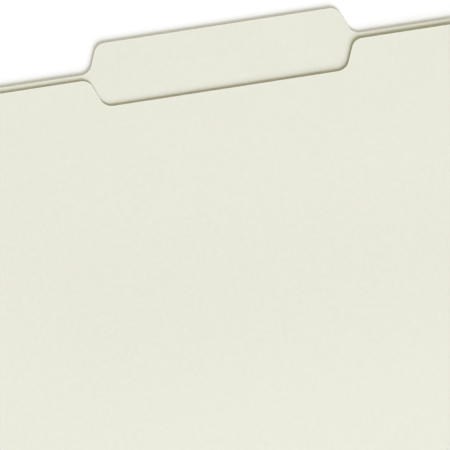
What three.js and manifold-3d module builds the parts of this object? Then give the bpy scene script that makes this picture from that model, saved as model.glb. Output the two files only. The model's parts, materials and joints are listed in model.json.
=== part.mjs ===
// Letter-size fastener folder: two pressboard covers, hinged at the bottom by a pleated cloth gusset,
// with a two-prong paper fastener on the inner face of each cover. Millimetres, +Z up.
// It lies closed on its back cover: +X runs along the covers' width, +Y from the fold to the tab.
// The origin is the bottom centre of the whole folder.
import * as THREE from "three";
import { mergeVertices } from "three/addons/utils/BufferGeometryUtils.js";
import Module from "manifold-3d";

const { degToRad } = THREE.MathUtils;

// Covers
const coverWidth = 298.45;
const backHeight = 241.3; // from the fold to the top of the tab
const frontHeight = 228.8; // from the fold to the front cover's top edge, along its slope
const boardThickness = 0.64;
const boardSetback = 2; // from the fold to the board's lower edge
const coverCornerRadius = 6;

// Tab of the back cover, and the notch in the front cover that shows it whole
const tabHeight = 10.53;
const tabBaseWidth = 98.13;
const tabSlant = degToRad(22); // of the tab's and the notch's sides, from upright
const tabCornerRadius = 4.4;
const notchDepth = 10.75;
const notchMouthWidth = 98.6;
const notchCornerRadius = 4.8;
const notchMiddle = -0.17; // from the tab's middle

// Gusset: one cloth tape with three folds, glued to the outer faces of both covers
const tapeThickness = 0.25;
const flapDepth = 25.4; // glued to a cover, from the fold
const panelDepth = 12.7; // half of the pleat

// Fasteners: a steel base with two prongs, a paper patch that holds it down,
// and a compressor bar with two slides
const fastenerFromSide = 22.2; // from the covers' left edge to the prongs' middle
const fastenerFromFold = 114.3; // from the fold to the middle between the prongs
const metalThickness = 0.25;
const prongSpacing = 69.85;
const prongWidth = 5;
const prongLength = 26;
const prongTipRadius = 2.2;
const baseWidth = 9.5;
const patchWidth = 22;
const patchLength = 100;
const patchSkin = 0.2; // over the base
const patchCornerRadius = 3;
const barWidth = 9.5;
const barLength = 92;
const barFootLength = 5;
const barRampLength = 2;
const slideLength = 7.5;
const slideHookWidth = 1.3; // under each edge of the bar
const slideTravel = 22;
const slideParting = 1; // between the two slides when they are parked at the middle

// Clearances
const glueLine = 0.05; // between faces that are glued or lie on each other
const foldClearance = 0.05; // from a fold's axis to the edge that turns about it
const slipClearance = 0.05; // above and below what slides or folds flat
const sideClearance = 0.15; // beside what slides, and round what passes through a slot
const coverClearance = 0.3; // between the closed covers at the front cover's top edge
const hardwareClearance = 0.25; // between the two fasteners when the covers are closed

const arcSegments = 8;

// Heights on a cover's inner face, outwards from the board
const baseTop = glueLine + metalThickness;
const patchTop = baseTop + slipClearance + patchSkin;
const barUnderside = patchTop + slipClearance + metalThickness + slipClearance;
const barTop = barUnderside + metalThickness;
const prongFoldHeight = barTop + slipClearance;
const slideUnderside = patchTop + slipClearance;
const slideRoof = prongFoldHeight + metalThickness + slipClearance;
const slideTop = slideRoof + metalThickness;

// Closed covers: the fold opens just as far as the two fasteners need, and the front cover slopes
// down from there. The slope is a few degrees, so its cosine is taken as 1 here.
const coverDepth = glueLine + boardThickness; // from the tape's inner face to the board's inner face
const slideReach = fastenerFromFold + slideParting / 2 + slideLength + slideTravel;
const reachShare = slideReach / frontHeight;
const gapAtFold = (2 * slideTop + hardwareClearance - coverClearance * reachShare) / (1 - reachShare);
const foldSpan = gapAtFold + 2 * coverDepth; // between the tape's inner faces at the folds
const foldAngle =
  Math.asin(foldSpan / (2 * Math.hypot(panelDepth, tapeThickness))) - Math.atan2(tapeThickness, panelDepth);
const coverSlope =
  Math.asin((foldSpan - coverDepth - coverClearance) / Math.hypot(frontHeight, coverDepth)) -
  Math.atan2(coverDepth, frontHeight);
// How far the pleat's panels reach past the fold
const panelOverhang = tapeThickness * Math.sin(foldAngle) - foldClearance * Math.cos(foldAngle);
const foldY = -(backHeight - panelOverhang) / 2;

const pressboard = new THREE.MeshStandardMaterial({ color: 0xe9e8db, roughness: 0.85, metalness: 0 });
const cloth = new THREE.MeshStandardMaterial({ color: 0x8f988c, roughness: 0.9, metalness: 0 });
const paper = new THREE.MeshStandardMaterial({ color: 0xdfdecb, roughness: 0.85, metalness: 0 });
const steel = new THREE.MeshStandardMaterial({ color: 0xb9bbbd, roughness: 0.35, metalness: 1 });

const wasm = await Module();
wasm.setup();

function toSolid(geometry) {
  const bare = geometry.index ? geometry.toNonIndexed() : geometry.clone();
  bare.deleteAttribute("normal");
  bare.deleteAttribute("uv");
  const merged = mergeVertices(bare);
  const vertProperties = merged.getAttribute("position").array;
  const triVerts = new Uint32Array(merged.index.array);
  return new wasm.Manifold(new wasm.Mesh({ numProp: 3, vertProperties, triVerts }));
}

function toGeometry(solid) {
  const { vertProperties, triVerts } = solid.getMesh();
  const geometry = new THREE.BufferGeometry();
  geometry.setAttribute("position", new THREE.BufferAttribute(vertProperties, 3));
  geometry.setIndex(new THREE.BufferAttribute(triVerts, 1));
  geometry.computeVertexNormals();
  return geometry;
}

const join = (first, ...others) =>
  toGeometry(others.reduce((made, other) => made.add(toSolid(other)), toSolid(first)));

const cut = (body, ...tools) =>
  toGeometry(tools.reduce((made, tool) => made.subtract(toSolid(tool)), toSolid(body)));

// A box from its lowest to its highest corner
function block([x0, y0, z0], [x1, y1, z1]) {
  const box = new THREE.BoxGeometry(x1 - x0, y1 - y0, z1 - z0);
  return box.translate((x0 + x1) / 2, (y0 + y1) / 2, (z0 + z1) / 2);
}

// A closed outline through [x, y, radius] corners, anticlockwise, each rounded by an arc of its radius
function roundedOutline(corners) {
  const shape = new THREE.Shape();
  corners.forEach(([x, y, radius], i) => {
    const here = new THREE.Vector2(x, y);
    const [before, after] = [corners.at(i - 1), corners[(i + 1) % corners.length]].map(
      ([otherX, otherY]) => new THREE.Vector2(otherX, otherY).sub(here).normalize(),
    );
    const turn = Math.PI - Math.acos(THREE.MathUtils.clamp(before.dot(after), -1, 1));
    const left = before.cross(after) < 0;
    const tangentLength = radius * Math.tan(turn / 2);
    const start = here.clone().addScaledVector(before, tangentLength);
    if (i === 0) shape.moveTo(start.x, start.y);
    else shape.lineTo(start.x, start.y);
    if (radius === 0) return;
    const inward = new THREE.Vector2(before.y, -before.x).multiplyScalar(left ? 1 : -1);
    const centre = start.clone().addScaledVector(inward, radius);
    const startAngle = start.clone().sub(centre).angle();
    shape.absarc(centre.x, centre.y, radius, startAngle, startAngle + (left ? turn : -turn), !left);
  });
  return shape;
}

// An outline in X and Y, as a plate that rises from z = 0
function plate(outline, thickness) {
  return new THREE.ExtrudeGeometry(outline, {
    depth: thickness,
    bevelEnabled: false,
    curveSegments: arcSegments,
  });
}

const rectangle = (width, y0, y1, radius = 0) =>
  roundedOutline([
    [-width / 2, y0, radius],
    [width / 2, y0, radius],
    [width / 2, y1, radius],
    [-width / 2, y1, radius],
  ]);

const polygon = (points) => new THREE.Shape(points.map(([x, y]) => new THREE.Vector2(x, y)));

// A section of [y, z] points, swept along X over the given width
function sweptAlongX(section, width) {
  const axes = new THREE.Matrix4().makeBasis(
    new THREE.Vector3(0, 1, 0),
    new THREE.Vector3(0, 0, 1),
    new THREE.Vector3(1, 0, 0),
  );
  return plate(polygon(section), width).applyMatrix4(axes).translate(-width / 2, 0, 0);
}

// A section of [x, z] points, swept along Y over the given length
function sweptAlongY(section, length) {
  const axes = new THREE.Matrix4().makeBasis(
    new THREE.Vector3(1, 0, 0),
    new THREE.Vector3(0, 0, 1),
    new THREE.Vector3(0, -1, 0),
  );
  return plate(polygon(section), length).applyMatrix4(axes).translate(0, length, 0);
}

function add(parent, name, geometry, material) {
  const mesh = new THREE.Mesh(geometry, material);
  mesh.name = name;
  parent.add(mesh);
  return mesh;
}

// A group whose origin is a fold's axis or a seat, turned about X
function hinged(parent, y, z, angle) {
  const group = new THREE.Group();
  group.position.set(0, y, z);
  group.rotation.x = angle;
  parent.add(group);
  return group;
}

function backBoardOutline() {
  const shoulder = backHeight - tabHeight;
  const tabTopWidth = tabBaseWidth - 2 * tabHeight * Math.tan(tabSlant);
  return roundedOutline([
    [-coverWidth / 2, boardSetback, 0],
    [coverWidth / 2, boardSetback, 0],
    [coverWidth / 2, shoulder, coverCornerRadius],
    [tabBaseWidth / 2, shoulder, tabCornerRadius],
    [tabTopWidth / 2, backHeight, tabCornerRadius],
    [-tabTopWidth / 2, backHeight, tabCornerRadius],
    [-tabBaseWidth / 2, shoulder, tabCornerRadius],
    [-coverWidth / 2, shoulder, coverCornerRadius],
  ]);
}

function frontBoardOutline() {
  const notchFloor = frontHeight - notchDepth;
  const notchFloorWidth = notchMouthWidth - 2 * notchDepth * Math.tan(tabSlant);
  return roundedOutline([
    [-coverWidth / 2, boardSetback, 0],
    [coverWidth / 2, boardSetback, 0],
    [coverWidth / 2, frontHeight, coverCornerRadius],
    [notchMiddle + notchMouthWidth / 2, frontHeight, tabCornerRadius],
    [notchMiddle + notchFloorWidth / 2, notchFloor, notchCornerRadius],
    [notchMiddle - notchFloorWidth / 2, notchFloor, notchCornerRadius],
    [notchMiddle - notchMouthWidth / 2, frontHeight, tabCornerRadius],
    [-coverWidth / 2, frontHeight, coverCornerRadius],
  ]);
}

// The part of the tape that is glued to a cover's outer face
const gussetFlap = () => plate(rectangle(coverWidth, foldClearance, flapDepth), tapeThickness);

// The base lies on the board, and its two ends are bent up through the patch and the bar
function fastenerBase() {
  const end = (prongSpacing + metalThickness) / 2;
  const strip = block([-baseWidth / 2, -end, glueLine], [baseWidth / 2, end, baseTop]);
  const upstands = [-prongSpacing / 2, prongSpacing / 2].map((y) =>
    block(
      [-prongWidth / 2, y - metalThickness / 2, glueLine],
      [prongWidth / 2, y + metalThickness / 2, prongFoldHeight],
    ),
  );
  return join(strip, ...upstands);
}

// Slots for the two upstands, through everything between the board and the prongs
function prongSlots() {
  return [-prongSpacing / 2, prongSpacing / 2].map((y) =>
    block(
      [-prongWidth / 2 - sideClearance, y - metalThickness / 2 - sideClearance, 0],
      [prongWidth / 2 + sideClearance, y + metalThickness / 2 + sideClearance, prongFoldHeight],
    ),
  );
}

// The patch is glued to the board round the base, and bridges it
function fastenerPatch() {
  const outline = rectangle(patchWidth, -patchLength / 2, patchLength / 2, patchCornerRadius);
  const sheet = plate(outline, patchTop - glueLine).translate(0, 0, glueLine);
  const end = (prongSpacing + metalThickness) / 2 + sideClearance;
  const pocket = block(
    [-baseWidth / 2 - sideClearance, -end, 0],
    [baseWidth / 2 + sideClearance, end, baseTop + slipClearance],
  );
  return cut(sheet, pocket, ...prongSlots());
}

// The bar stands on its two feet, which leaves room under its edges for the slides' hooks
function compressorBar() {
  const footTop = barLength / 2 - barFootLength;
  const rise = footTop - barRampLength;
  const foot = patchTop + glueLine;
  const underside = [
    [-barLength / 2, foot],
    [-footTop, foot],
    [-rise, barUnderside],
    [rise, barUnderside],
    [footTop, foot],
    [barLength / 2, foot],
  ];
  const top = underside.map(([y, z]) => [y, z + metalThickness]).reverse();
  return cut(sweptAlongX([...underside, ...top], barWidth), ...prongSlots());
}

// From its fold at y = 0 to its tip
function prong() {
  return plate(
    roundedOutline([
      [-prongWidth / 2, foldClearance, 0],
      [prongWidth / 2, foldClearance, 0],
      [prongWidth / 2, prongLength, prongTipRadius],
      [-prongWidth / 2, prongLength, prongTipRadius],
    ]),
    metalThickness,
  );
}

// A clip round the bar and the folded prong, with a hook under each edge of the bar
function slide() {
  const inner = barWidth / 2 + sideClearance;
  const outer = inner + metalThickness;
  const hookEnd = inner - slideHookWidth;
  const hookTop = slideUnderside + metalThickness;
  const rightHalf = [
    [hookEnd, hookTop],
    [hookEnd, slideUnderside],
    [outer, slideUnderside],
    [outer, slideTop],
  ];
  const leftHalf = rightHalf.map(([x, z]) => [-x, z]).reverse();
  const inside = [
    [-inner, hookTop],
    [-inner, slideRoof],
    [inner, slideRoof],
    [inner, hookTop],
  ];
  return sweptAlongY([...rightHalf, ...leftHalf, ...inside], slideLength);
}

// A whole fastener on the board's inner face, which is z = 0 of the given group
function addFastener(seat, side) {
  add(seat, `${side}_fastener_base`, fastenerBase(), steel);
  add(seat, `${side}_fastener_patch`, fastenerPatch(), paper);
  add(seat, `${side}_compressor_bar`, compressorBar(), steel);
  const halves = [
    ["upper", 0],
    ["lower", Math.PI],
  ];
  for (const [end, turn] of halves) {
    const half = new THREE.Group(); // its +Y points from the middle to this end
    half.rotation.z = turn;
    seat.add(half);
    const foldedProng = add(half, `${side}_${end}_prong`, prong(), steel);
    foldedProng.position.set(0, (prongSpacing - metalThickness) / 2, prongFoldHeight);
    foldedProng.rotation.z = Math.PI;
    const parkedSlide = add(half, `${side}_${end}_slide`, slide(), steel);
    parkedSlide.position.y = slideParting / 2;
  }
}

const folder = new THREE.Group();
const fastenerX = -coverWidth / 2 + fastenerFromSide;

// Back cover, flat on the table: the tape's flap, the board on it, and the fastener
const backCover = hinged(folder, foldY, 0, 0);
add(backCover, "gusset_back_flap", gussetFlap(), cloth);
const backBoard = add(backCover, "back_board", plate(backBoardOutline(), boardThickness), pressboard);
backBoard.position.z = tapeThickness + glueLine;
const backSeat = new THREE.Group();
backSeat.position.set(fastenerX, fastenerFromFold, tapeThickness + coverDepth);
backCover.add(backSeat);
addFastener(backSeat, "back");

// Pleat: its two panels fold inwards between the covers
const panelOutline = rectangle(coverWidth, foldClearance, panelDepth - foldClearance);
const backPanel = hinged(backCover, 0, tapeThickness, foldAngle);
add(backPanel, "gusset_back_panel", plate(panelOutline, tapeThickness), cloth);
const frontPanel = hinged(backPanel, panelDepth, tapeThickness, Math.PI - 2 * foldAngle);
const frontPanelMesh = add(frontPanel, "gusset_front_panel", plate(panelOutline, tapeThickness), cloth);
frontPanelMesh.position.z = -tapeThickness;

// Front cover, sloping down from its fold: the tape's flap outside, the board under it,
// and the fastener inside
const frontCover = hinged(frontPanel, panelDepth, -tapeThickness, foldAngle - coverSlope - Math.PI);
add(frontCover, "gusset_front_flap", gussetFlap(), cloth);
const frontBoard = add(frontCover, "front_board", plate(frontBoardOutline(), boardThickness), pressboard);
frontBoard.position.z = -coverDepth;
const frontSeat = new THREE.Group();
frontSeat.position.set(fastenerX, fastenerFromFold, -coverDepth);
frontSeat.rotation.y = Math.PI;
frontCover.add(frontSeat);
addFastener(frontSeat, "front");

export default folder;
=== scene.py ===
"""The looks of a letter-size pressboard fastener folder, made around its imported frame. Metres, +Z up."""
import json
import math

import bmesh
import bpy
from mathutils import Matrix, Vector


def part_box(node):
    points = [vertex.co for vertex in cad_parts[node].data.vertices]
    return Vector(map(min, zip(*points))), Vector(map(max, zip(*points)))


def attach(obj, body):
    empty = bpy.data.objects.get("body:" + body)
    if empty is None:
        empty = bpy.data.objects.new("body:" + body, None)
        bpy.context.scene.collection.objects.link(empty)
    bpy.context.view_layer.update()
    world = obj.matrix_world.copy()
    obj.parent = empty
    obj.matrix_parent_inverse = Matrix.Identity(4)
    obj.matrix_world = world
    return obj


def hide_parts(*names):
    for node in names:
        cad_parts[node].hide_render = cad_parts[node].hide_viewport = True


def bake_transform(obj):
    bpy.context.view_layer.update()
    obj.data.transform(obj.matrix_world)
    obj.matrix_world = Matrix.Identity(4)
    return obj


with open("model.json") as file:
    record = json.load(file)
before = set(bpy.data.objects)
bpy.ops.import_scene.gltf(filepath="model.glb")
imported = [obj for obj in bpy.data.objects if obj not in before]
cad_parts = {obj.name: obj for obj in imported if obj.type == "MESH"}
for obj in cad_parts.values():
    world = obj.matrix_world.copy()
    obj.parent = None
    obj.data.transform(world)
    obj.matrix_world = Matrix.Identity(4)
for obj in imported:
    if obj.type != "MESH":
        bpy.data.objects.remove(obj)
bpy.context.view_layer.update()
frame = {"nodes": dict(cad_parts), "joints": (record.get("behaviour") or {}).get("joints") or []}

MM = 0.001

# View: straight down on the tab, with the folder turned anticlockwise on the table
PICTURE_WIDTH = 165.6 * MM  # what the picture shows across, at the covers
FOLDER_TURN = math.radians(8.76)
VIEW_RIGHT_OF_TAB = -8.1 * MM
VIEW_BELOW_TAB_TOP = 73.1 * MM
CAMERA_HEIGHT = 1.1

# Lights: a large key lamp beyond the fold, and an even sky
LAMP_BEARING = math.radians(-69.2)  # anticlockwise from +X
LAMP_ELEVATION = math.radians(30.5)
LAMP_DISTANCE = 8.0
LAMP_SIZE = 4.78
LAMP_POWER = 834.0
LAMP_COLOUR = (0.943, 0.986, 1.172)
SKY_COLOUR = (0.49, 0.468, 0.355)
WHITE = (1.0, 1.0, 1.0)
FLOOR_SIZE = 8.0
FLOOR_COLOUR = (0.985, 0.985, 0.985)
FLOOR_GLOW = 0.15  # painted light: a share of plain white glow where the floor is seen, so the folder's shadows on it stay light
FLOOR_FADES_FROM, FLOOR_FADES_TO = 0.5, 1.1  # from the middle, out to where only white is seen
FLOOR_DROP = 0.02 * MM

# Boards
BOARD_GRID = 12 * MM
RIM_WIDTH = 0.9 * MM  # the band of painted highlight along the board's edges
CUT_EDGE_ROUND = 0.09 * MM
SHADE_FROM, SHADE_TO = 175 * MM, 225 * MM  # from the fold, over which painted shade darkens the boards towards their top edge, where less lamp light falls
PAINTED_SHADE_SHARE = 0.08  # how much of the board's colour the painted shade covers there
WARP_HEIGHT = 0.03 * MM
WARP_ACROSS, WARP_ALONG, WARP_SLANTED = 61 * MM, 47 * MM, 29 * MM  # the length of a turn of 1 radian
STRAIGHT_TO, WARPED_FROM = 40 * MM, 100 * MM  # from the fold, beside which the tape holds it straight

# The closed front cover bends down to the back one, between two distances from its fold
SETTLE_START = 105 * MM
SETTLE_START_AT_FASTENER = 150 * MM
SETTLE_END = 216 * MM
SETTLED_GAP = 0.17 * MM
LIFTED_GAP = 0.4 * MM  # at the right, where its top edge lies less close
LIFT_FROM, LIFT_TO = 10 * MM, 110 * MM
STIFF_TO, LIMP_FROM = -110 * MM, -66 * MM  # from the fastener's patch to where the board bends freely

# Gusset tape
CREASE_ROWS = [0.2 * MM, 0.5 * MM, 1 * MM, 2 * MM, 3.5 * MM]
CLOTH_STEP = 9 * MM
PANEL_STEP = 6 * MM
CLOTH_WAVE = 0.1 * MM
LONG_WAVE, SHORT_WAVE = 17 * MM, 7.3 * MM  # the length of a turn of 1 radian
WAVE_SHIFT = 900.0  # radians per metre along the tape, so that the two panels differ
SHORTEST_STRAIGHT = 1 * MM  # longer than any chord of a crease
THREAD_PITCH = 0.42 * MM

# Fasteners
METAL_EDGE_ROUND = 0.045 * MM
PRESSED_STEEP = 0.3  # the slope at which a pressed flank gets the most painted shade
PATCH_PAPER = 0.2 * MM
PATCH_SLOPE = 1.3 * MM  # how wide the paper's slope is, down from the base
PATCH_GAP = 0.05 * MM  # between the base and the paper over it
PATCH_EDGE_ROUND = 0.04 * MM
PATCH_STEP = 6 * MM
BAR_CORNER = 2.2 * MM
BAR_FOOT = 5 * MM
BAR_RAMP = 2 * MM
BAR_RAMP_SOFT = 0.3 * MM  # how far its curve runs past both ends
BEAD_MIDDLE = 3.5 * MM  # of the two pressed beads, from the bar's middle line
BEAD_WIDTH = 1.3 * MM
BEAD_HEIGHT = 0.2 * MM
BEAD_FADE = 1.5 * MM
PRONG_TIP_ROUND = 2.2 * MM
PRONG_BEND_ROWS = (0.1 * MM, 0.2 * MM)  # beside the bend, on both sides
PRONG_STEP = 3 * MM
PRONG_STEPS_FROM = 1 * MM  # past the bend
SLIDE_BEND = 0.26 * MM
SLIDE_HOOK = 1.3 * MM  # from the wall's inner face, in under the bar
SLIDE_STEP = 0.45 * MM
SLIDE_RIB_HEIGHT = 0.1 * MM
SLIDE_RIB_WIDTH = 0.8 * MM
SLIDE_RIB_FROM_MIDDLE = 2.6 * MM
SLIDE_RIB_FADE = 1 * MM
SLIDE_DOME = (1.5 * MM, 2.3 * MM, 0.1 * MM)  # half along the bar, half across it, height
ARC_STEPS = 6
SHARP = math.radians(35)
MERGE_WITHIN = 0.002 * MM
CUT_TOLERANCE = 0.001 * MM
END_TOLERANCE = 0.01 * MM

SIDES = ("back", "front")
ENDS = {"upper": 1, "lower": -1}

nodes = frame["nodes"]
joints = {joint["name"]: joint for joint in frame["joints"]}


def joint_point(name):
    return Vector(joints[name]["pos_m"])


# Places on a cover: x as in the frame, y from its fold, z out of its inner face


def cover_space(side):
    crease = joint_point({"back": "back_crease", "front": "front_cover_open"}[side])
    along = Vector(joints[f"{side}_upper_slide_travel"]["axis"]).normalized()
    out = Vector((1, 0, 0)).cross(along) * {"back": 1, "front": -1}[side]
    inner_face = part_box("back_board")[1].z - joint_point("back_crease").z
    place = Matrix((Vector((1, 0, 0)), along, out)).transposed().to_4x4()
    place.translation = crease + out * inner_face
    return place


SPACE = {side: cover_space(side) for side in SIDES}


def cover_box(side, node_name):
    """Lowest and highest corner of a CAD node in its cover's space."""
    points = [SPACE[side].inverted() @ v.co for v in nodes[node_name].data.vertices]
    return [Vector(pick(p[i] for p in points) for i in range(3)) for pick in (min, max)]


# Shaping flat sheets


def upper_side(side, node_name):
    """A CAD sheet's faces that look out of its cover, laid flat at z = 0 in the cover's space."""
    bm = bmesh.new()
    bm.from_mesh(nodes[node_name].data)
    bmesh.ops.remove_doubles(bm, verts=bm.verts, dist=MERGE_WITHIN)
    bm.transform(SPACE[side].inverted())
    bmesh.ops.recalc_face_normals(bm, faces=bm.faces)
    bmesh.ops.dissolve_limit(bm, angle_limit=math.radians(0.5), verts=bm.verts, edges=bm.edges)
    hidden = [face for face in bm.faces if face.normal.z < 0.5]
    bmesh.ops.delete(bm, geom=hidden, context="FACES")
    for vert in bm.verts:
        vert.co.z = 0
    return bm


def blank(low, high):
    """A flat rectangle from its lowest to its highest corner."""
    bm = bmesh.new()
    corners = [(low[0], low[1]), (high[0], low[1]), (high[0], high[1]), (low[0], high[1])]
    bm.faces.new([bm.verts.new((x, y, 0)) for x, y in corners])
    return bm


def round_corners(bm, corners, radius, segments=6):
    bmesh.ops.bevel(
        bm, geom=corners, offset=radius, segments=segments, profile=0.5, affect="VERTICES", material=-1
    )


def cut_across(bm, direction, places):
    for place in places:
        bmesh.ops.bisect_plane(
            bm,
            geom=bm.verts[:] + bm.edges[:] + bm.faces[:],
            dist=CUT_TOLERANCE,
            plane_co=Vector(direction) * place,
            plane_no=direction,
        )


def steps_between(low, high, step):
    count = max(1, round((high - low) / step))
    return [low + (high - low) * i / count for i in range(1, count)]


def keep_flat_places(bm):
    """Writes each point's place on the flat sheet as UV, in metres, before it is bent."""
    uv = bm.loops.layers.uv.new("flat")
    for face in bm.faces:
        for loop in face.loops:
            loop[uv].uv = loop.vert.co.xy


def smoothstep(low, high, value):
    t = min(1.0, max(0.0, (value - low) / (high - low)))
    return t * t * (3 - 2 * t)


def folded_path(start, heading, moves):
    """(distance, point, heading) along a folded strip. A move is a length, or a turn and its radius."""
    point, distance = Vector(start), 0.0
    knots = [(distance, point.copy(), heading)]
    for move in moves:
        if isinstance(move, tuple):
            turn, radius = move
            for _ in range(ARC_STEPS):
                heading += turn / ARC_STEPS / 2
                chord = 2 * radius * math.sin(abs(turn) / ARC_STEPS / 2)
                point = point + chord * Vector((math.cos(heading), math.sin(heading)))
                distance += chord
                heading += turn / ARC_STEPS / 2
                knots.append((distance, point.copy(), heading))
        else:
            point = point + move * Vector((math.cos(heading), math.sin(heading)))
            distance += move
            knots.append((distance, point.copy(), heading))
    return knots


def fold_along(bm, knots, lift=lambda x, distance: 0.0):
    """Folds a flat strip that runs from y = 0 up, and lifts it off its path by lift(x, distance)."""
    for vert in bm.verts:
        x, distance = vert.co.x, vert.co.y
        for (d0, p0, h0), (d1, p1, _) in zip(knots, knots[1:]):
            if distance <= d1 or d1 == knots[-1][0]:
                share = (distance - d0) / (d1 - d0)
                point = p0.lerp(p1, share)
                break
        normal = Vector((-math.sin(h0), math.cos(h0)))
        point += normal * lift(x, distance)
        vert.co = (x, point.x, point.y)


def mark_slopes(bm, height):
    """Keeps how steep the pressed shape height(x, y) is at each point of the flat strip, which sets the
    painted shade on its flanks.
    """
    slope = bm.verts.layers.float.new("press_slope")
    step = 0.02 * MM
    for vert in bm.verts:
        x, y = vert.co.xy
        rise_x = height(x + step, y) - height(x - step, y)
        rise_y = height(x, y + step) - height(x, y - step)
        vert[slope] = min(1.0, math.hypot(rise_x, rise_y) / (2 * step) / PRESSED_STEEP)


def add_sheet(name, bm, materials, thickness, stands_for=(), edge_round=0.0):
    """A shown piece: the middle layer bm, with its thickness and softened edges as modifiers."""
    bmesh.ops.recalc_face_normals(bm, faces=bm.faces)
    mesh = bpy.data.meshes.new(name)
    bm.to_mesh(mesh)
    bm.free()
    cad_normals = mesh.attributes.get("custom_normal")
    if cad_normals:
        mesh.attributes.remove(cad_normals)
    mesh.shade_smooth()
    for material in materials:
        mesh.materials.append(material)
    piece = bpy.data.objects.new(name, mesh)
    bpy.context.scene.collection.objects.link(piece)
    wall = piece.modifiers.new("Thickness", "SOLIDIFY")
    wall.thickness = thickness
    wall.offset = 0
    wall.use_even_offset = True
    wall.material_offset_rim = len(materials) - 1
    if not edge_round:
        piece.modifiers.new("Flat faces", "WEIGHTED_NORMAL")
    else:
        edge = piece.modifiers.new("Softened edges", "BEVEL")
        edge.width = edge_round
        edge.segments = 2
        edge.limit_method = "ANGLE"
        edge.angle_limit = SHARP
        edge.harden_normals = True
        # on a board the rounded edge takes the cut edge's colour, painted shade along its edges
        edge.material = len(materials) - 1
    if stands_for:
        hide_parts(*stands_for)
    return piece


# Materials


def node(tree, kind, inputs=None, **settings):
    """Adds a shader node. An input's value is a number or colour, or another node's output to link."""
    made = tree.nodes.new(kind)
    for key, value in settings.items():
        setattr(made, key, value)
    for key, value in (inputs or {}).items():
        if isinstance(value, bpy.types.NodeSocket):
            tree.links.new(value, made.inputs[key])
        else:
            made.inputs[key].default_value = value
    return made


def math_node(tree, operation, *values):
    return node(tree, "ShaderNodeMath", dict(enumerate(values)), operation=operation).outputs[0]


def mixed_colour(tree, factor, first, second):
    FACTOR, FIRST, SECOND, RESULT = 0, 6, 7, 2  # the colour sockets of a Mix node
    return node(
        tree, "ShaderNodeMix", {FACTOR: factor, FIRST: first, SECOND: second}, data_type="RGBA"
    ).outputs[RESULT]


def noise(tree, vector, scale, detail=2.0, roughness=0.5):
    return node(
        tree,
        "ShaderNodeTexNoise",
        {"Vector": vector, "Scale": scale, "Detail": detail, "Roughness": roughness},
    ).outputs["Fac"]


def stretched(tree, vector, size, turn=0.0):
    """Coordinates in which a pattern of scale 1 has features of the given size in metres."""
    return node(
        tree,
        "ShaderNodeMapping",
        {"Vector": vector, "Rotation": (0.0, 0.0, turn), "Scale": size},
        vector_type="TEXTURE",
    ).outputs["Vector"]


def mapped(tree, value, low, high, to_low=0.0, to_high=1.0):
    return node(
        tree,
        "ShaderNodeMapRange",
        {"Value": value, "From Min": low, "From Max": high, "To Min": to_low, "To Max": to_high},
        interpolation_type="SMOOTHSTEP",
    ).outputs["Result"]


def new_group(name, outputs):
    """An empty node group that takes a Vector and gives values."""
    group = bpy.data.node_groups.new(name, "ShaderNodeTree")
    group.interface.new_socket("Vector", in_out="INPUT", socket_type="NodeSocketVector")
    for label in outputs:
        group.interface.new_socket(label, in_out="OUTPUT", socket_type="NodeSocketFloat")
    return group, node(group, "NodeGroupInput").outputs["Vector"], node(group, "NodeGroupOutput")


def opaque(colour):
    return (*colour, 1.0)


def scaled(colour, factor):
    return opaque(part * factor for part in colour)


def pulp_group():
    """Pressed paper: cloudy mottle, short fibres lying every way, and the fine relief of both."""
    group, place, result = new_group("Paper pulp", ("Mottle", "Fibres", "Relief"))
    clouds = noise(group, place, 560.0, 5.0, 0.65)
    group.links.new(mapped(group, clouds, 0.34, 0.66), result.inputs["Mottle"])
    fibres = None
    for turn in (0.35, 1.25, 2.05, 2.85):
        strands = stretched(group, place, (0.22 * MM, 2.6 * MM, 0.6 * MM), turn)
        laid = mapped(group, noise(group, strands, 1.0, 1.0), 0.68, 0.78)
        fibres = laid if fibres is None else math_node(group, "MAXIMUM", fibres, laid)
    group.links.new(fibres, result.inputs["Fibres"])
    grit = noise(group, place, 3200.0, 3.0, 0.6)
    raised = math_node(group, "MULTIPLY_ADD", fibres, 0.4, grit)
    group.links.new(raised, result.inputs["Relief"])
    return group


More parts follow.
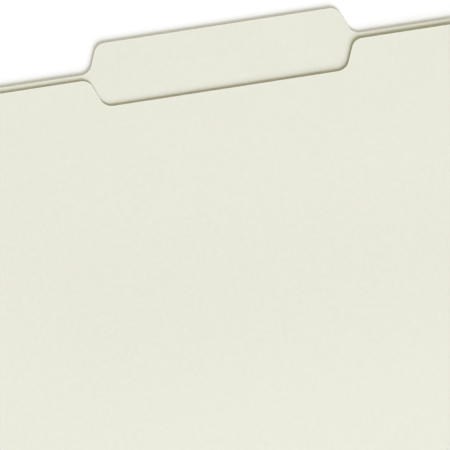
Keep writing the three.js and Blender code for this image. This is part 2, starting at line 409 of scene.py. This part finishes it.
def paper_material(name, colour, mottle=0.026, fibre=0.05, roughness=0.8, rim_highlight_colour=None):
    """Paper, or with a rim colour a board, which has a painted highlight band along its edges and painted
    shade towards its top edge.
    """
    material = bpy.data.materials.new(name)
    material.use_nodes = True
    tree = material.node_tree
    shader = tree.nodes["Principled BSDF"]
    place = node(tree, "ShaderNodeTexCoord").outputs["Object"]
    grain = node(tree, "ShaderNodeGroup", node_tree=pulp)
    tree.links.new(place, grain.inputs["Vector"])
    clouded = mixed_colour(
        tree, grain.outputs["Mottle"], scaled(colour, 1 - mottle / 2), scaled(colour, 1 + mottle / 2)
    )
    fibres = math_node(tree, "MULTIPLY", grain.outputs["Fibres"], 0.6)
    marked = mixed_colour(tree, fibres, clouded, scaled(colour, 1 - fibre))
    if rim_highlight_colour:
        # Painted shade: the board darkens, in patches, towards its top edge, where less lamp light falls
        handling_and_shade = node(tree, "ShaderNodeAttribute", attribute_name="handling_and_shade").outputs["Fac"]
        shade_patches = noise(tree, place, 55.0, 3.0)
        covered = mapped(tree, shade_patches, 0.3, 0.7, 0.75 * PAINTED_SHADE_SHARE, PAINTED_SHADE_SHARE)
        painted_shade = math_node(tree, "MULTIPLY", handling_and_shade, covered)
        marked = mixed_colour(tree, painted_shade, marked, opaque(PAINTED_SHADE_COLOUR))
        # Painted highlight: an uneven, slightly lighter band along the board's edges
        rim = node(tree, "ShaderNodeAttribute", attribute_name="highlight_rim").outputs["Fac"]
        uneven = mapped(tree, noise(tree, place, 900.0, 3.0), 0.3, 0.7, 0.35, 1.0)
        rim_highlight = math_node(tree, "MULTIPLY", rim, uneven)
        marked = mixed_colour(tree, rim_highlight, marked, opaque(rim_highlight_colour))
    tree.links.new(marked, shader.inputs["Base Color"])
    tree.links.new(
        mapped(tree, grain.outputs["Mottle"], 0.0, 1.0, roughness - 0.06, roughness + 0.06),
        shader.inputs["Roughness"],
    )
    relief = grain.outputs["Relief"]
    bump = node(tree, "ShaderNodeBump", {"Height": relief, "Distance": 0.02 * MM, "Strength": 0.5})
    tree.links.new(bump.outputs["Normal"], shader.inputs["Normal"])
    shader.inputs["Specular IOR Level"].default_value = 0.08
    return material


def cut_edge_material(name, colour):
    """The board's cut edge: thin pressed layers, one over the other, roughened by the die. Its colour is
    the cut edge's darker tone, darkened further as painted shade along the boards' edges.
    """
    material = bpy.data.materials.new(name)
    material.use_nodes = True
    tree = material.node_tree
    shader = tree.nodes["Principled BSDF"]
    place = node(tree, "ShaderNodeTexCoord").outputs["Object"]
    layers = noise(tree, stretched(tree, place, (3 * MM, 3 * MM, 0.09 * MM)), 1.0, 3.0)
    crumbs = noise(tree, place, 2600.0, 3.0, 0.6)
    band = mapped(tree, layers, 0.35, 0.65)
    layered = mixed_colour(tree, band, scaled(colour, 0.88), scaled(colour, 1.03))
    tree.links.new(layered, shader.inputs["Base Color"])
    tree.links.new(mapped(tree, crumbs, 0.3, 0.7, 0.8, 0.95), shader.inputs["Roughness"])
    height = math_node(tree, "ADD", layers, crumbs)
    bump = node(tree, "ShaderNodeBump", {"Height": height, "Distance": 0.04 * MM, "Strength": 0.7})
    tree.links.new(bump.outputs["Normal"], shader.inputs["Normal"])
    shader.inputs["Specular IOR Level"].default_value = 0.2
    return material


def cloth_material(name, colour):
    """Plain-woven tape with a sized, matt face. The weave follows the flat tape."""
    material = bpy.data.materials.new(name)
    material.use_nodes = True
    tree = material.node_tree
    shader = tree.nodes["Principled BSDF"]
    place = node(tree, "ShaderNodeUVMap", uv_map="flat").outputs["UV"]
    threads = node(tree, "ShaderNodeSeparateXYZ", {"Vector": place})
    waves = []
    for axis in ("X", "Y"):
        turns = math_node(tree, "MULTIPLY", threads.outputs[axis], math.pi / THREAD_PITCH)
        waves.append(math_node(tree, "SINE", turns))
    crossing = math_node(tree, "MULTIPLY", waves[0], waves[1])
    over = mapped(tree, crossing, -0.5, 0.5)
    ridges = [math_node(tree, "ABSOLUTE", wave) for wave in waves]
    warp = math_node(tree, "MULTIPLY", ridges[0], over)
    weft = math_node(tree, "MULTIPLY", ridges[1], math_node(tree, "SUBTRACT", 1.0, over))
    weave = math_node(tree, "ADD", warp, weft)
    slubs = [
        noise(tree, stretched(tree, place, size), 1.0, 2.0)
        for size in ((0.5 * MM, 14 * MM, 1.0), (14 * MM, 0.5 * MM, 1.0))
    ]
    uneven = mapped(tree, math_node(tree, "ADD", slubs[0], slubs[1]), 0.75, 1.25)
    worn = mapped(tree, noise(tree, place, 45.0, 4.0), 0.3, 0.7)
    thread_colour = mixed_colour(tree, uneven, scaled(colour, 0.86), scaled(colour, 1.12))
    raised = mapped(tree, weave, 0.15, 0.8)
    woven = mixed_colour(tree, raised, scaled(colour, 0.62), thread_colour)
    fading = math_node(tree, "MULTIPLY", worn, 0.22)
    faded = mixed_colour(tree, fading, woven, scaled(colour, 1.25))
    tree.links.new(faded, shader.inputs["Base Color"])
    tree.links.new(mapped(tree, uneven, 0.0, 1.0, 0.78, 0.92), shader.inputs["Roughness"])
    height = math_node(tree, "MULTIPLY_ADD", uneven, 0.4, weave)
    bump = node(tree, "ShaderNodeBump", {"Height": height, "Distance": 0.06 * MM, "Strength": 0.8})
    tree.links.new(bump.outputs["Normal"], shader.inputs["Normal"])
    shader.inputs["Specular IOR Level"].default_value = 0.25
    shader.inputs["Sheen Weight"].default_value = 0.25
    shader.inputs["Sheen Roughness"].default_value = 0.5
    return material


def tinplate_material(name, colour):
    """Bright rolled tinplate: streaks along the strip, a few scratches and dull patches of handling, and
    painted shade on the flanks of its pressed shapes.
    """
    material = bpy.data.materials.new(name)
    material.use_nodes = True
    tree = material.node_tree
    shader = tree.nodes["Principled BSDF"]
    place = node(tree, "ShaderNodeUVMap", uv_map="flat").outputs["UV"]
    streaks = noise(tree, stretched(tree, place, (0.12 * MM, 9 * MM, 1.0)), 1.0, 3.0, 0.6)
    slanted = stretched(tree, place, (0.05 * MM, 3 * MM, 1.0), 0.5)
    scratches = mapped(tree, noise(tree, slanted, 1.0, 1.0), 0.7, 0.76)
    handling_and_shade = mapped(tree, noise(tree, place, 260.0, 4.0, 0.6), 0.42, 0.72)
    sheet_colour = mixed_colour(tree, streaks, scaled(colour, 0.9), scaled(colour, 1.08))
    dulling = math_node(tree, "MULTIPLY", handling_and_shade, 0.3)
    dulled = mixed_colour(tree, dulling, sheet_colour, scaled(colour, 0.78))
    # Painted shade: the steeper a pressed flank, the darker its colour, as if shaded
    flank = node(tree, "ShaderNodeAttribute", attribute_name="press_slope").outputs["Fac"]
    painted_shade = math_node(tree, "MULTIPLY", flank, 0.85)
    flanks_shaded = mixed_colour(tree, painted_shade, dulled, scaled(colour, 0.42))
    tree.links.new(flanks_shaded, shader.inputs["Base Color"])
    gloss = mapped(tree, streaks, 0.3, 0.7, 0.2, 0.34)
    smeared = math_node(tree, "MULTIPLY_ADD", handling_and_shade, 0.14, gloss)
    scratched = math_node(tree, "MULTIPLY_ADD", scratches, 0.15, smeared)
    tree.links.new(scratched, shader.inputs["Roughness"])
    height = math_node(tree, "SUBTRACT", streaks, scratches)
    bump = node(tree, "ShaderNodeBump", {"Height": height, "Distance": 0.004 * MM, "Strength": 0.6})
    tree.links.new(bump.outputs["Normal"], shader.inputs["Normal"])
    shader.inputs["Metallic"].default_value = 1.0
    return material


BOARD_COLOUR = (0.819, 0.813, 0.718)
# painted highlight along the board's edges
BOARD_RIM_HIGHLIGHT_COLOUR = (0.822, 0.816, 0.72)
# the cut edge's own darker tone, darkened further as painted shade: the rounded top edges show it as a dark
# line beside their contact shadow
BOARD_EDGE_AND_SHADE_COLOUR = (0.655, 0.64, 0.50)
# painted shade, which the boards darken towards near their top edge
PAINTED_SHADE_COLOUR = (0.30, 0.28, 0.22)
PATCH_COLOUR = (0.70, 0.69, 0.565)
CLOTH_COLOUR = (0.205, 0.24, 0.195)
TINPLATE_COLOUR = (0.52, 0.527, 0.53)

pulp = pulp_group()
pressboard = paper_material("Pressboard", BOARD_COLOUR, rim_highlight_colour=BOARD_RIM_HIGHLIGHT_COLOUR)
board_edge = cut_edge_material("Pressboard cut edge", BOARD_EDGE_AND_SHADE_COLOUR)
patch_paper = paper_material("Patch paper", PATCH_COLOUR, mottle=0.07, fibre=0.16, roughness=0.72)
tape_cloth = cloth_material("Gusset tape", CLOTH_COLOUR)
tinplate = tinplate_material("Tinplate", TINPLATE_COLOUR)


# Covers


def warp(x, y):
    """The slight unevenness of a board that has been in use."""
    broad = math.sin(x / WARP_ACROSS + 0.8) * math.sin(y / WARP_ALONG + 0.3)
    slanted = math.sin((x - 0.6 * y) / WARP_SLANTED + 2.1)
    height = WARP_HEIGHT * (0.7 * broad + 0.3 * slanted)
    return height * smoothstep(STRAIGHT_TO, WARPED_FROM, y)


def settled(x, y):
    """How far the closed front cover bends towards the back one, y from the fold."""
    space = SPACE["front"]
    slope = -space.col[1].z / space.col[1].y
    rigid_gap = (space @ Vector((0, SETTLE_END, 0))).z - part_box("back_board")[1].z
    drop = rigid_gap - SETTLED_GAP - (LIFTED_GAP - SETTLED_GAP) * smoothstep(LIFT_FROM, LIFT_TO, x)
    limp = smoothstep(STIFF_TO, LIMP_FROM, x)
    start = SETTLE_START_AT_FASTENER + (SETTLE_START - SETTLE_START_AT_FASTENER) * limp
    reach = SETTLE_END - start
    t = min(1.0, max(0.0, (y - start) / reach))
    # flat at the start, and parallel to the back cover at the end
    bent = (3 * t**2 - 2 * t**3) * drop + (t**3 - t**2) * reach * -slope
    return bent - slope * max(0.0, y - SETTLE_END)


def settle(bm):
    for vert in bm.verts:
        vert.co.z += settled(vert.co.x, vert.co.y)


def add_board(side):
    node_name = f"{side}_board"
    low, high = cover_box(side, node_name)
    bm = upper_side(side, node_name)
    rim = bm.verts.layers.float.new("highlight_rim")
    handling_and_shade = bm.verts.layers.float.new("handling_and_shade")
    outline = bm.verts[:]
    bmesh.ops.inset_region(
        bm, faces=bm.faces[:], thickness=RIM_WIDTH, use_boundary=True, use_even_offset=True
    )
    # the outline, where the painted highlight band is strongest
    for vert in outline:
        vert[rim] = 1.0
    cut_across(bm, (1, 0, 0), steps_between(low.x, high.x, BOARD_GRID))
    cut_across(bm, (0, 1, 0), steps_between(low.y, high.y, BOARD_GRID))
    for vert in bm.verts:
        vert.co.z = (low.z + high.z) / 2 + warp(*vert.co.xy)
        # painted shade towards the top edge
        vert[handling_and_shade] = smoothstep(SHADE_FROM, SHADE_TO, vert.co.y)
    if side == "front":
        settle(bm)
    bm.transform(SPACE[side])
    board = add_sheet(
        f"{side}_cover_board",
        bm,
        [pressboard, board_edge],
        high.z - low.z,
        [node_name],
        CUT_EDGE_ROUND,
    )
    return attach(board, f"{side}_cover")


for side in SIDES:
    add_board(side)


# Gusset: one tape, made as three cloths that meet at the middles of its two panels

tape_low, tape_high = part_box("gusset_back_flap")
tape_thickness = tape_high.z - tape_low.z
tape_width = tape_high.x - tape_low.x
creases = {name: joint_point(name) for name in ("back_crease", "middle_crease", "front_cover_open")}
flap_depth = tape_high.y - creases["back_crease"].y
panel_span = (creases["middle_crease"] - creases["back_crease"]).length
panel_depth = math.sqrt(panel_span**2 - tape_thickness**2)
turns = {name: math.radians(max(map(abs, joints[name]["range_deg"]))) for name in creases}
tape_path = folded_path(
    (tape_high.y, tape_thickness / 2),
    math.pi,
    [
        flap_depth,
        (-turns["back_crease"], tape_thickness / 2),
        panel_depth,
        (turns["middle_crease"], tape_thickness / 2),
        panel_depth,
        (-turns["front_cover_open"], tape_thickness / 2),
        flap_depth,
    ],
)
distances = [knot[0] for knot in tape_path]
straights = [
    (start, end) for start, end in zip(distances, distances[1:]) if end - start > SHORTEST_STRAIGHT
]
_, back_panel, front_panel, _ = straights
tape_length = distances[-1]


def tape_lift(x, distance):
    """Soft waves in the two panels, none at the creases or where the tape is glued down."""
    for low, high in (back_panel, front_panel):
        if low < distance < high:
            share = math.sin(math.pi * (distance - low) / (high - low)) ** 2
            waves = math.sin(x / LONG_WAVE + low * WAVE_SHIFT) + 0.6 * math.sin(x / SHORT_WAVE)
            return CLOTH_WAVE * share * waves
    return 0.0


def add_cloth(name, start, end, nodes_replaced):
    """The tape from start to end, which bends at one crease."""
    bm = blank((-tape_width / 2, start), (tape_width / 2, end))
    rows = set(distances)
    for low, high in straights:
        rows |= {low + row for row in CREASE_ROWS} | {high - row for row in CREASE_ROWS}
        rows |= set(steps_between(low, high, PANEL_STEP))
    cut_across(bm, (0, 1, 0), sorted(row for row in rows if start < row < end))
    cut_across(bm, (1, 0, 0), steps_between(-tape_width / 2, tape_width / 2, CLOTH_STEP))
    keep_flat_places(bm)
    fold_along(bm, tape_path, tape_lift)
    cloth = add_sheet(name, bm, [tape_cloth], tape_thickness, nodes_replaced)
    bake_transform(cloth)
    return cloth


middle_of_back_panel = sum(back_panel) / 2
middle_of_front_panel = sum(front_panel) / 2
add_cloth(
    "gusset_back_cloth",
    0.0,
    middle_of_back_panel,
    ["gusset_back_flap", "gusset_back_panel"],
)
add_cloth(
    "gusset_middle_cloth",
    middle_of_back_panel,
    middle_of_front_panel,
    [],
)
add_cloth(
    "gusset_front_cloth",
    middle_of_front_panel,
    tape_length,
    ["gusset_front_panel", "gusset_front_flap"],
)


# Fasteners


def fastener_middle(side):
    """The middle of a fastener between its prongs, at the height where they fold, in the cover's space."""
    pivots = [SPACE[side].inverted() @ joint_point(f"{side}_{end}_prong_bend") for end in ENDS]
    return (pivots[0] + pivots[1]) / 2


def metal_thickness(side):
    low, high = cover_box(side, f"{side}_upper_prong")
    return high.z - low.z


def base_height(side):
    return cover_box(side, f"{side}_fastener_base")[0].z


def add_base(side):
    """The strip under the patch. Its bent-up ends are in the prongs' pieces, so here they are laid flat."""
    node_name = f"{side}_fastener_base"
    bm = upper_side(side, node_name)
    metal = metal_thickness(side)
    middle_layer = base_height(side) + metal / 2
    keep_flat_places(bm)
    for vert in bm.verts:
        vert.co.z = middle_layer
    bmesh.ops.remove_doubles(bm, verts=bm.verts, dist=MERGE_WITHIN)
    bm.transform(SPACE[side])
    base = add_sheet(f"{side}_base_strip", bm, [tinplate], metal, [node_name])
    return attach(base, f"{side}_cover")


def add_patch(side):
    """A paper patch, glued to the board round the base and raised over it."""
    node_name = f"{side}_fastener_patch"
    middle = fastener_middle(side)
    base_low, base_high = cover_box(side, f"{side}_fastener_base")
    half_width = (base_high.x - base_low.x) / 2
    half_length = (base_high.y - base_low.y) / 2
    bm = upper_side(side, node_name)
    slope_rows = [PATCH_SLOPE * i / 5 for i in range(6)]
    for axis, half in ((0, half_width), (1, half_length)):
        direction = Vector((1, 0, 0) if axis == 0 else (0, 1, 0))
        places = [middle[axis] + way * (half + row) for way in (-1, 1) for row in slope_rows]
        cut_across(bm, direction, places)
    cut_across(
        bm, (0, 1, 0), steps_between(middle.y - half_length, middle.y + half_length, PATCH_STEP)
    )
    keep_flat_places(bm)
    over_base = metal_thickness(side) + PATCH_GAP
    for vert in bm.verts:
        beside = smoothstep(half_width + PATCH_SLOPE, half_width, abs(vert.co.x - middle.x))
        beyond = smoothstep(half_length + PATCH_SLOPE, half_length, abs(vert.co.y - middle.y))
        vert.co.z = base_low.z + PATCH_PAPER / 2 + over_base * beside * beyond
    if side == "front":
        settle(bm)
    bm.transform(SPACE[side])
    patch = add_sheet(
        f"{side}_patch_sheet",
        bm,
        [patch_paper],
        PATCH_PAPER,
        [node_name],
        PATCH_EDGE_ROUND,
    )
    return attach(patch, f"{side}_cover")


def add_bar(side):
    """The compressor bar: rounded ends, feet on the patch, and a bead along each side of the prongs."""
    node_name = f"{side}_compressor_bar"
    low, high = cover_box(side, node_name)
    middle = fastener_middle(side)
    metal = metal_thickness(side)
    half_length = (high.y - low.y) / 2
    foot_top = half_length - BAR_FOOT
    ramp_top = foot_top - BAR_RAMP
    bm = upper_side(side, node_name)
    ends = [v for v in bm.verts if abs(abs(v.co.y - middle.y) - half_length) < END_TOLERANCE]
    round_corners(bm, ends, BAR_CORNER)
    bead_rows = [BEAD_MIDDLE + BEAD_WIDTH * (i / 6 - 0.5) for i in range(7)]
    cut_across(bm, (1, 0, 0), [middle.x + way * row for way in (-1, 1) for row in bead_rows])
    climb_start = foot_top + BAR_RAMP_SOFT
    climb_end = ramp_top - BAR_RAMP_SOFT
    bead_end = climb_end - BAR_RAMP_SOFT
    climb_rows = [climb_start + (climb_end - climb_start) * i / 8 for i in range(9)]
    fade_rows = [bead_end - BEAD_FADE * i / 4 for i in range(5)]
    end_rows = climb_rows + fade_rows
    cut_across(bm, (0, 1, 0), [middle.y + way * row for way in (-1, 1) for row in end_rows])
    keep_flat_places(bm)
    foot = base_height(side) + PATCH_PAPER + metal / 2
    raised = high.z - metal / 2

    def height(x, y):
        across = abs(x - middle.x)
        along = abs(y - middle.y)
        climb = smoothstep(climb_start, climb_end, along)
        bead = smoothstep(BEAD_WIDTH / 2, 0.0, abs(across - BEAD_MIDDLE))
        fade = smoothstep(bead_end, bead_end - BEAD_FADE, along)
        return foot + (raised - foot) * climb + BEAD_HEIGHT * bead * fade

    mark_slopes(bm, height)
    for vert in bm.verts:
        vert.co.z = height(*vert.co.xy)
    if side == "front":
        settle(bm)
    bm.transform(SPACE[side])
    bar = add_sheet(
        f"{side}_bar_strip", bm, [tinplate], metal, [node_name], METAL_EDGE_ROUND
    )
    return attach(bar, f"{side}_cover")


def add_prong(side, end):
    """A prong with the base's bent-up end that it grows from, folded flat over the bar."""
    way = ENDS[end]
    node_name = f"{side}_{end}_prong"
    low, high = cover_box(side, node_name)
    pivot = SPACE[side].inverted() @ joint_point(f"{side}_{end}_prong_bend")
    metal = high.z - low.z
    upstand = pivot.z - base_height(side)
    reach = abs((low.y if way > 0 else high.y) - pivot.y)
    half_width = (high.x - low.x) / 2
    path = folded_path(
        (metal / 2, -upstand), math.pi / 2, [upstand, (math.pi / 2, metal / 2), reach]
    )
    length = path[-1][0]
    bm = blank((-half_width, 0.0), (half_width, length))
    tip = [v for v in bm.verts if v.co.y > length / 2]
    round_corners(bm, tip, PRONG_TIP_ROUND)
    bends = [path[1][0], path[-2][0]]
    rows = [knot[0] for knot in path[1:-1]]
    rows += [bends[0] - row for row in PRONG_BEND_ROWS]
    rows += [bends[1] + row for row in PRONG_BEND_ROWS]
    rows += steps_between(bends[1] + PRONG_STEPS_FROM, length, PRONG_STEP)
    cut_across(bm, (0, 1, 0), sorted(rows))
    keep_flat_places(bm)
    fold_along(bm, path)
    half = Matrix.Translation(pivot) @ Matrix.Diagonal((1, way, 1, 1))
    bm.transform(SPACE[side] @ half)
    prong = add_sheet(
        f"{side}_{end}_prong_strip", bm, [tinplate], metal, [node_name], METAL_EDGE_ROUND
    )
    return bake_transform(prong)


def add_slide(side, end):
    """A clip folded from one blank, with hooks under the bar, and two ribs and a dome in its roof."""
    node_name = f"{side}_{end}_slide"
    low, high = cover_box(side, node_name)
    metal = metal_thickness(side)
    middle = (low + high) / 2
    half_width = (high.x - low.x) / 2 - metal / 2
    half_height = (high.z - low.z) / 2 - metal / 2
    hook = SLIDE_HOOK + metal / 2 - SLIDE_BEND
    quarter = (math.pi / 2, SLIDE_BEND)
    wall = 2 * (half_height - SLIDE_BEND)
    roof = 2 * (half_width - SLIDE_BEND)
    path = folded_path(
        (half_width - SLIDE_BEND - hook, -half_height),
        0.0,
        [hook, quarter, wall, quarter, roof, quarter, wall, quarter, hook],
    )
    length = path[-1][0]
    half_length = (high.y - low.y) / 2
    bm = blank((-half_length, 0.0), (half_length, length))
    cut_across(bm, (0, 1, 0), [knot[0] for knot in path[1:-1]] + [length / 2])
    rib_rows = [SLIDE_RIB_FROM_MIDDLE + SLIDE_RIB_WIDTH * (i / 6 - 0.5) for i in range(7)]
    dome_rows = [SLIDE_DOME[0] * i / 5 for i in range(6)]
    cut_across(bm, (1, 0, 0), [way * row for way in (-1, 1) for row in rib_rows + dome_rows])
    roof_ends = (length / 2 - roof / 2, length / 2 + roof / 2)
    cut_across(bm, (0, 1, 0), steps_between(*roof_ends, SLIDE_STEP))
    keep_flat_places(bm)

    def pressed(x, distance):
        """Grip ribs near both ends of the roof and a dome between them, all outwards."""
        on_roof = smoothstep(roof_ends[0], roof_ends[0] + SLIDE_RIB_FADE, distance)
        on_roof *= smoothstep(roof_ends[1], roof_ends[1] - SLIDE_RIB_FADE, distance)
        rib = smoothstep(SLIDE_RIB_WIDTH / 2, 0.0, abs(abs(x) - SLIDE_RIB_FROM_MIDDLE))
        half_along, half_across, height = SLIDE_DOME
        dome = smoothstep(1.0, 0.2, math.hypot(x / half_along, (distance - length / 2) / half_across))
        return -SLIDE_RIB_HEIGHT * on_roof * rib - height * dome

    mark_slopes(bm, pressed)
    fold_along(bm, path, pressed)
    bm.transform(SPACE[side] @ Matrix.Translation(middle) @ Matrix.Rotation(-math.pi / 2, 4, "Z"))
    slide = add_sheet(
        f"{side}_{end}_slide_clip", bm, [tinplate], metal, [node_name], METAL_EDGE_ROUND
    )
    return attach(slide, f"{side}_{end}_slide")


for side in SIDES:
    add_base(side)
    add_patch(side)
    add_bar(side)
    for end in ENDS:
        add_prong(side, end)
        add_slide(side, end)


# Floor, lights and camera


def seen_directly(tree):
    """1 where the camera, a reflection or a look through glass sees a surface, 0 where it only lights."""
    rays = node(tree, "ShaderNodeLightPath").outputs
    direct = math_node(tree, "MAXIMUM", rays["Is Camera Ray"], rays["Is Glossy Ray"])
    return math_node(tree, "MAXIMUM", direct, rays["Is Transmission Ray"])


def add_floor():
    """A white floor that keeps the folder's shadow, lightened by a painted white glow, and fades to plain
    white far from it.
    """
    bm = bmesh.new()
    bmesh.ops.create_grid(bm, x_segments=1, y_segments=1, size=FLOOR_SIZE / 2)
    mesh = bpy.data.meshes.new("Table")
    bm.to_mesh(mesh)
    bm.free()
    floor = bpy.data.objects.new("Table", mesh)
    floor.location.z = -FLOOR_DROP
    bpy.context.scene.collection.objects.link(floor)
    material = bpy.data.materials.new("White table")
    material.use_nodes = True
    tree = material.node_tree
    shader = tree.nodes["Principled BSDF"]
    shader.inputs["Base Color"].default_value = opaque(FLOOR_COLOUR)
    shader.inputs["Roughness"].default_value = 0.9
    shader.inputs["Specular IOR Level"].default_value = 0.1
    place = node(tree, "ShaderNodeTexCoord").outputs["Object"]
    distance = node(tree, "ShaderNodeVectorMath", {0: place}, operation="LENGTH").outputs["Value"]
    far = mapped(tree, distance, FLOOR_FADES_FROM, FLOOR_FADES_TO)
    # Painted light: white glow mixed in where the floor is seen, lightening the folder's shadows on it
    glow = math_node(tree, "MAXIMUM", far, FLOOR_GLOW)
    share = math_node(tree, "MULTIPLY", glow, seen_directly(tree))
    plain = node(tree, "ShaderNodeEmission", {"Color": opaque(WHITE), "Strength": 1.0})
    mix = node(tree, "ShaderNodeMixShader", {0: share, 1: shader.outputs[0], 2: plain.outputs[0]})
    tree.links.new(mix.outputs[0], tree.nodes["Material Output"].inputs["Surface"])
    mesh.materials.append(material)


def add_sky():
    """An even warm sky that lights, and white wherever the camera or a reflection sees it."""
    world = bpy.data.worlds.new("Studio")
    bpy.context.scene.world = world
    world.use_nodes = True
    tree = world.node_tree
    light = tree.nodes["Background"]
    light.inputs["Color"].default_value = opaque(SKY_COLOUR)
    seen = node(tree, "ShaderNodeBackground", {"Color": opaque(WHITE), "Strength": 1.0})
    mix = node(
        tree, "ShaderNodeMixShader", {0: seen_directly(tree), 1: light.outputs[0], 2: seen.outputs[0]}
    )
    tree.links.new(mix.outputs[0], tree.nodes["World Output"].inputs["Surface"])


def add_lamp():
    data = bpy.data.lights.new("Key lamp", "AREA")
    data.shape = "SQUARE"
    data.size = LAMP_SIZE
    data.energy = LAMP_POWER
    data.color = LAMP_COLOUR
    lamp = bpy.data.objects.new("Key lamp", data)
    level = math.cos(LAMP_ELEVATION)
    towards = Vector(
        (level * math.cos(LAMP_BEARING), level * math.sin(LAMP_BEARING), math.sin(LAMP_ELEVATION))
    )
    lamp.location = towards * LAMP_DISTANCE
    lamp.rotation_euler = towards.to_track_quat("Z", "Y").to_euler()
    bpy.context.scene.collection.objects.link(lamp)


def add_camera():
    data = bpy.data.cameras.new("Camera")
    data.lens = data.sensor_width * CAMERA_HEIGHT / PICTURE_WIDTH
    data.clip_start = 0.01
    camera = bpy.data.objects.new("Camera", data)
    tab_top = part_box("back_board")[1]
    camera.location = (VIEW_RIGHT_OF_TAB, tab_top.y - VIEW_BELOW_TAB_TOP, tab_top.z + CAMERA_HEIGHT)
    camera.rotation_euler = (0, 0, -FOLDER_TURN)
    bpy.context.scene.collection.objects.link(camera)
    bpy.context.scene.camera = camera


add_floor()
add_sky()
add_lamp()
add_camera()
bpy.context.scene.view_settings.view_transform = "Standard"
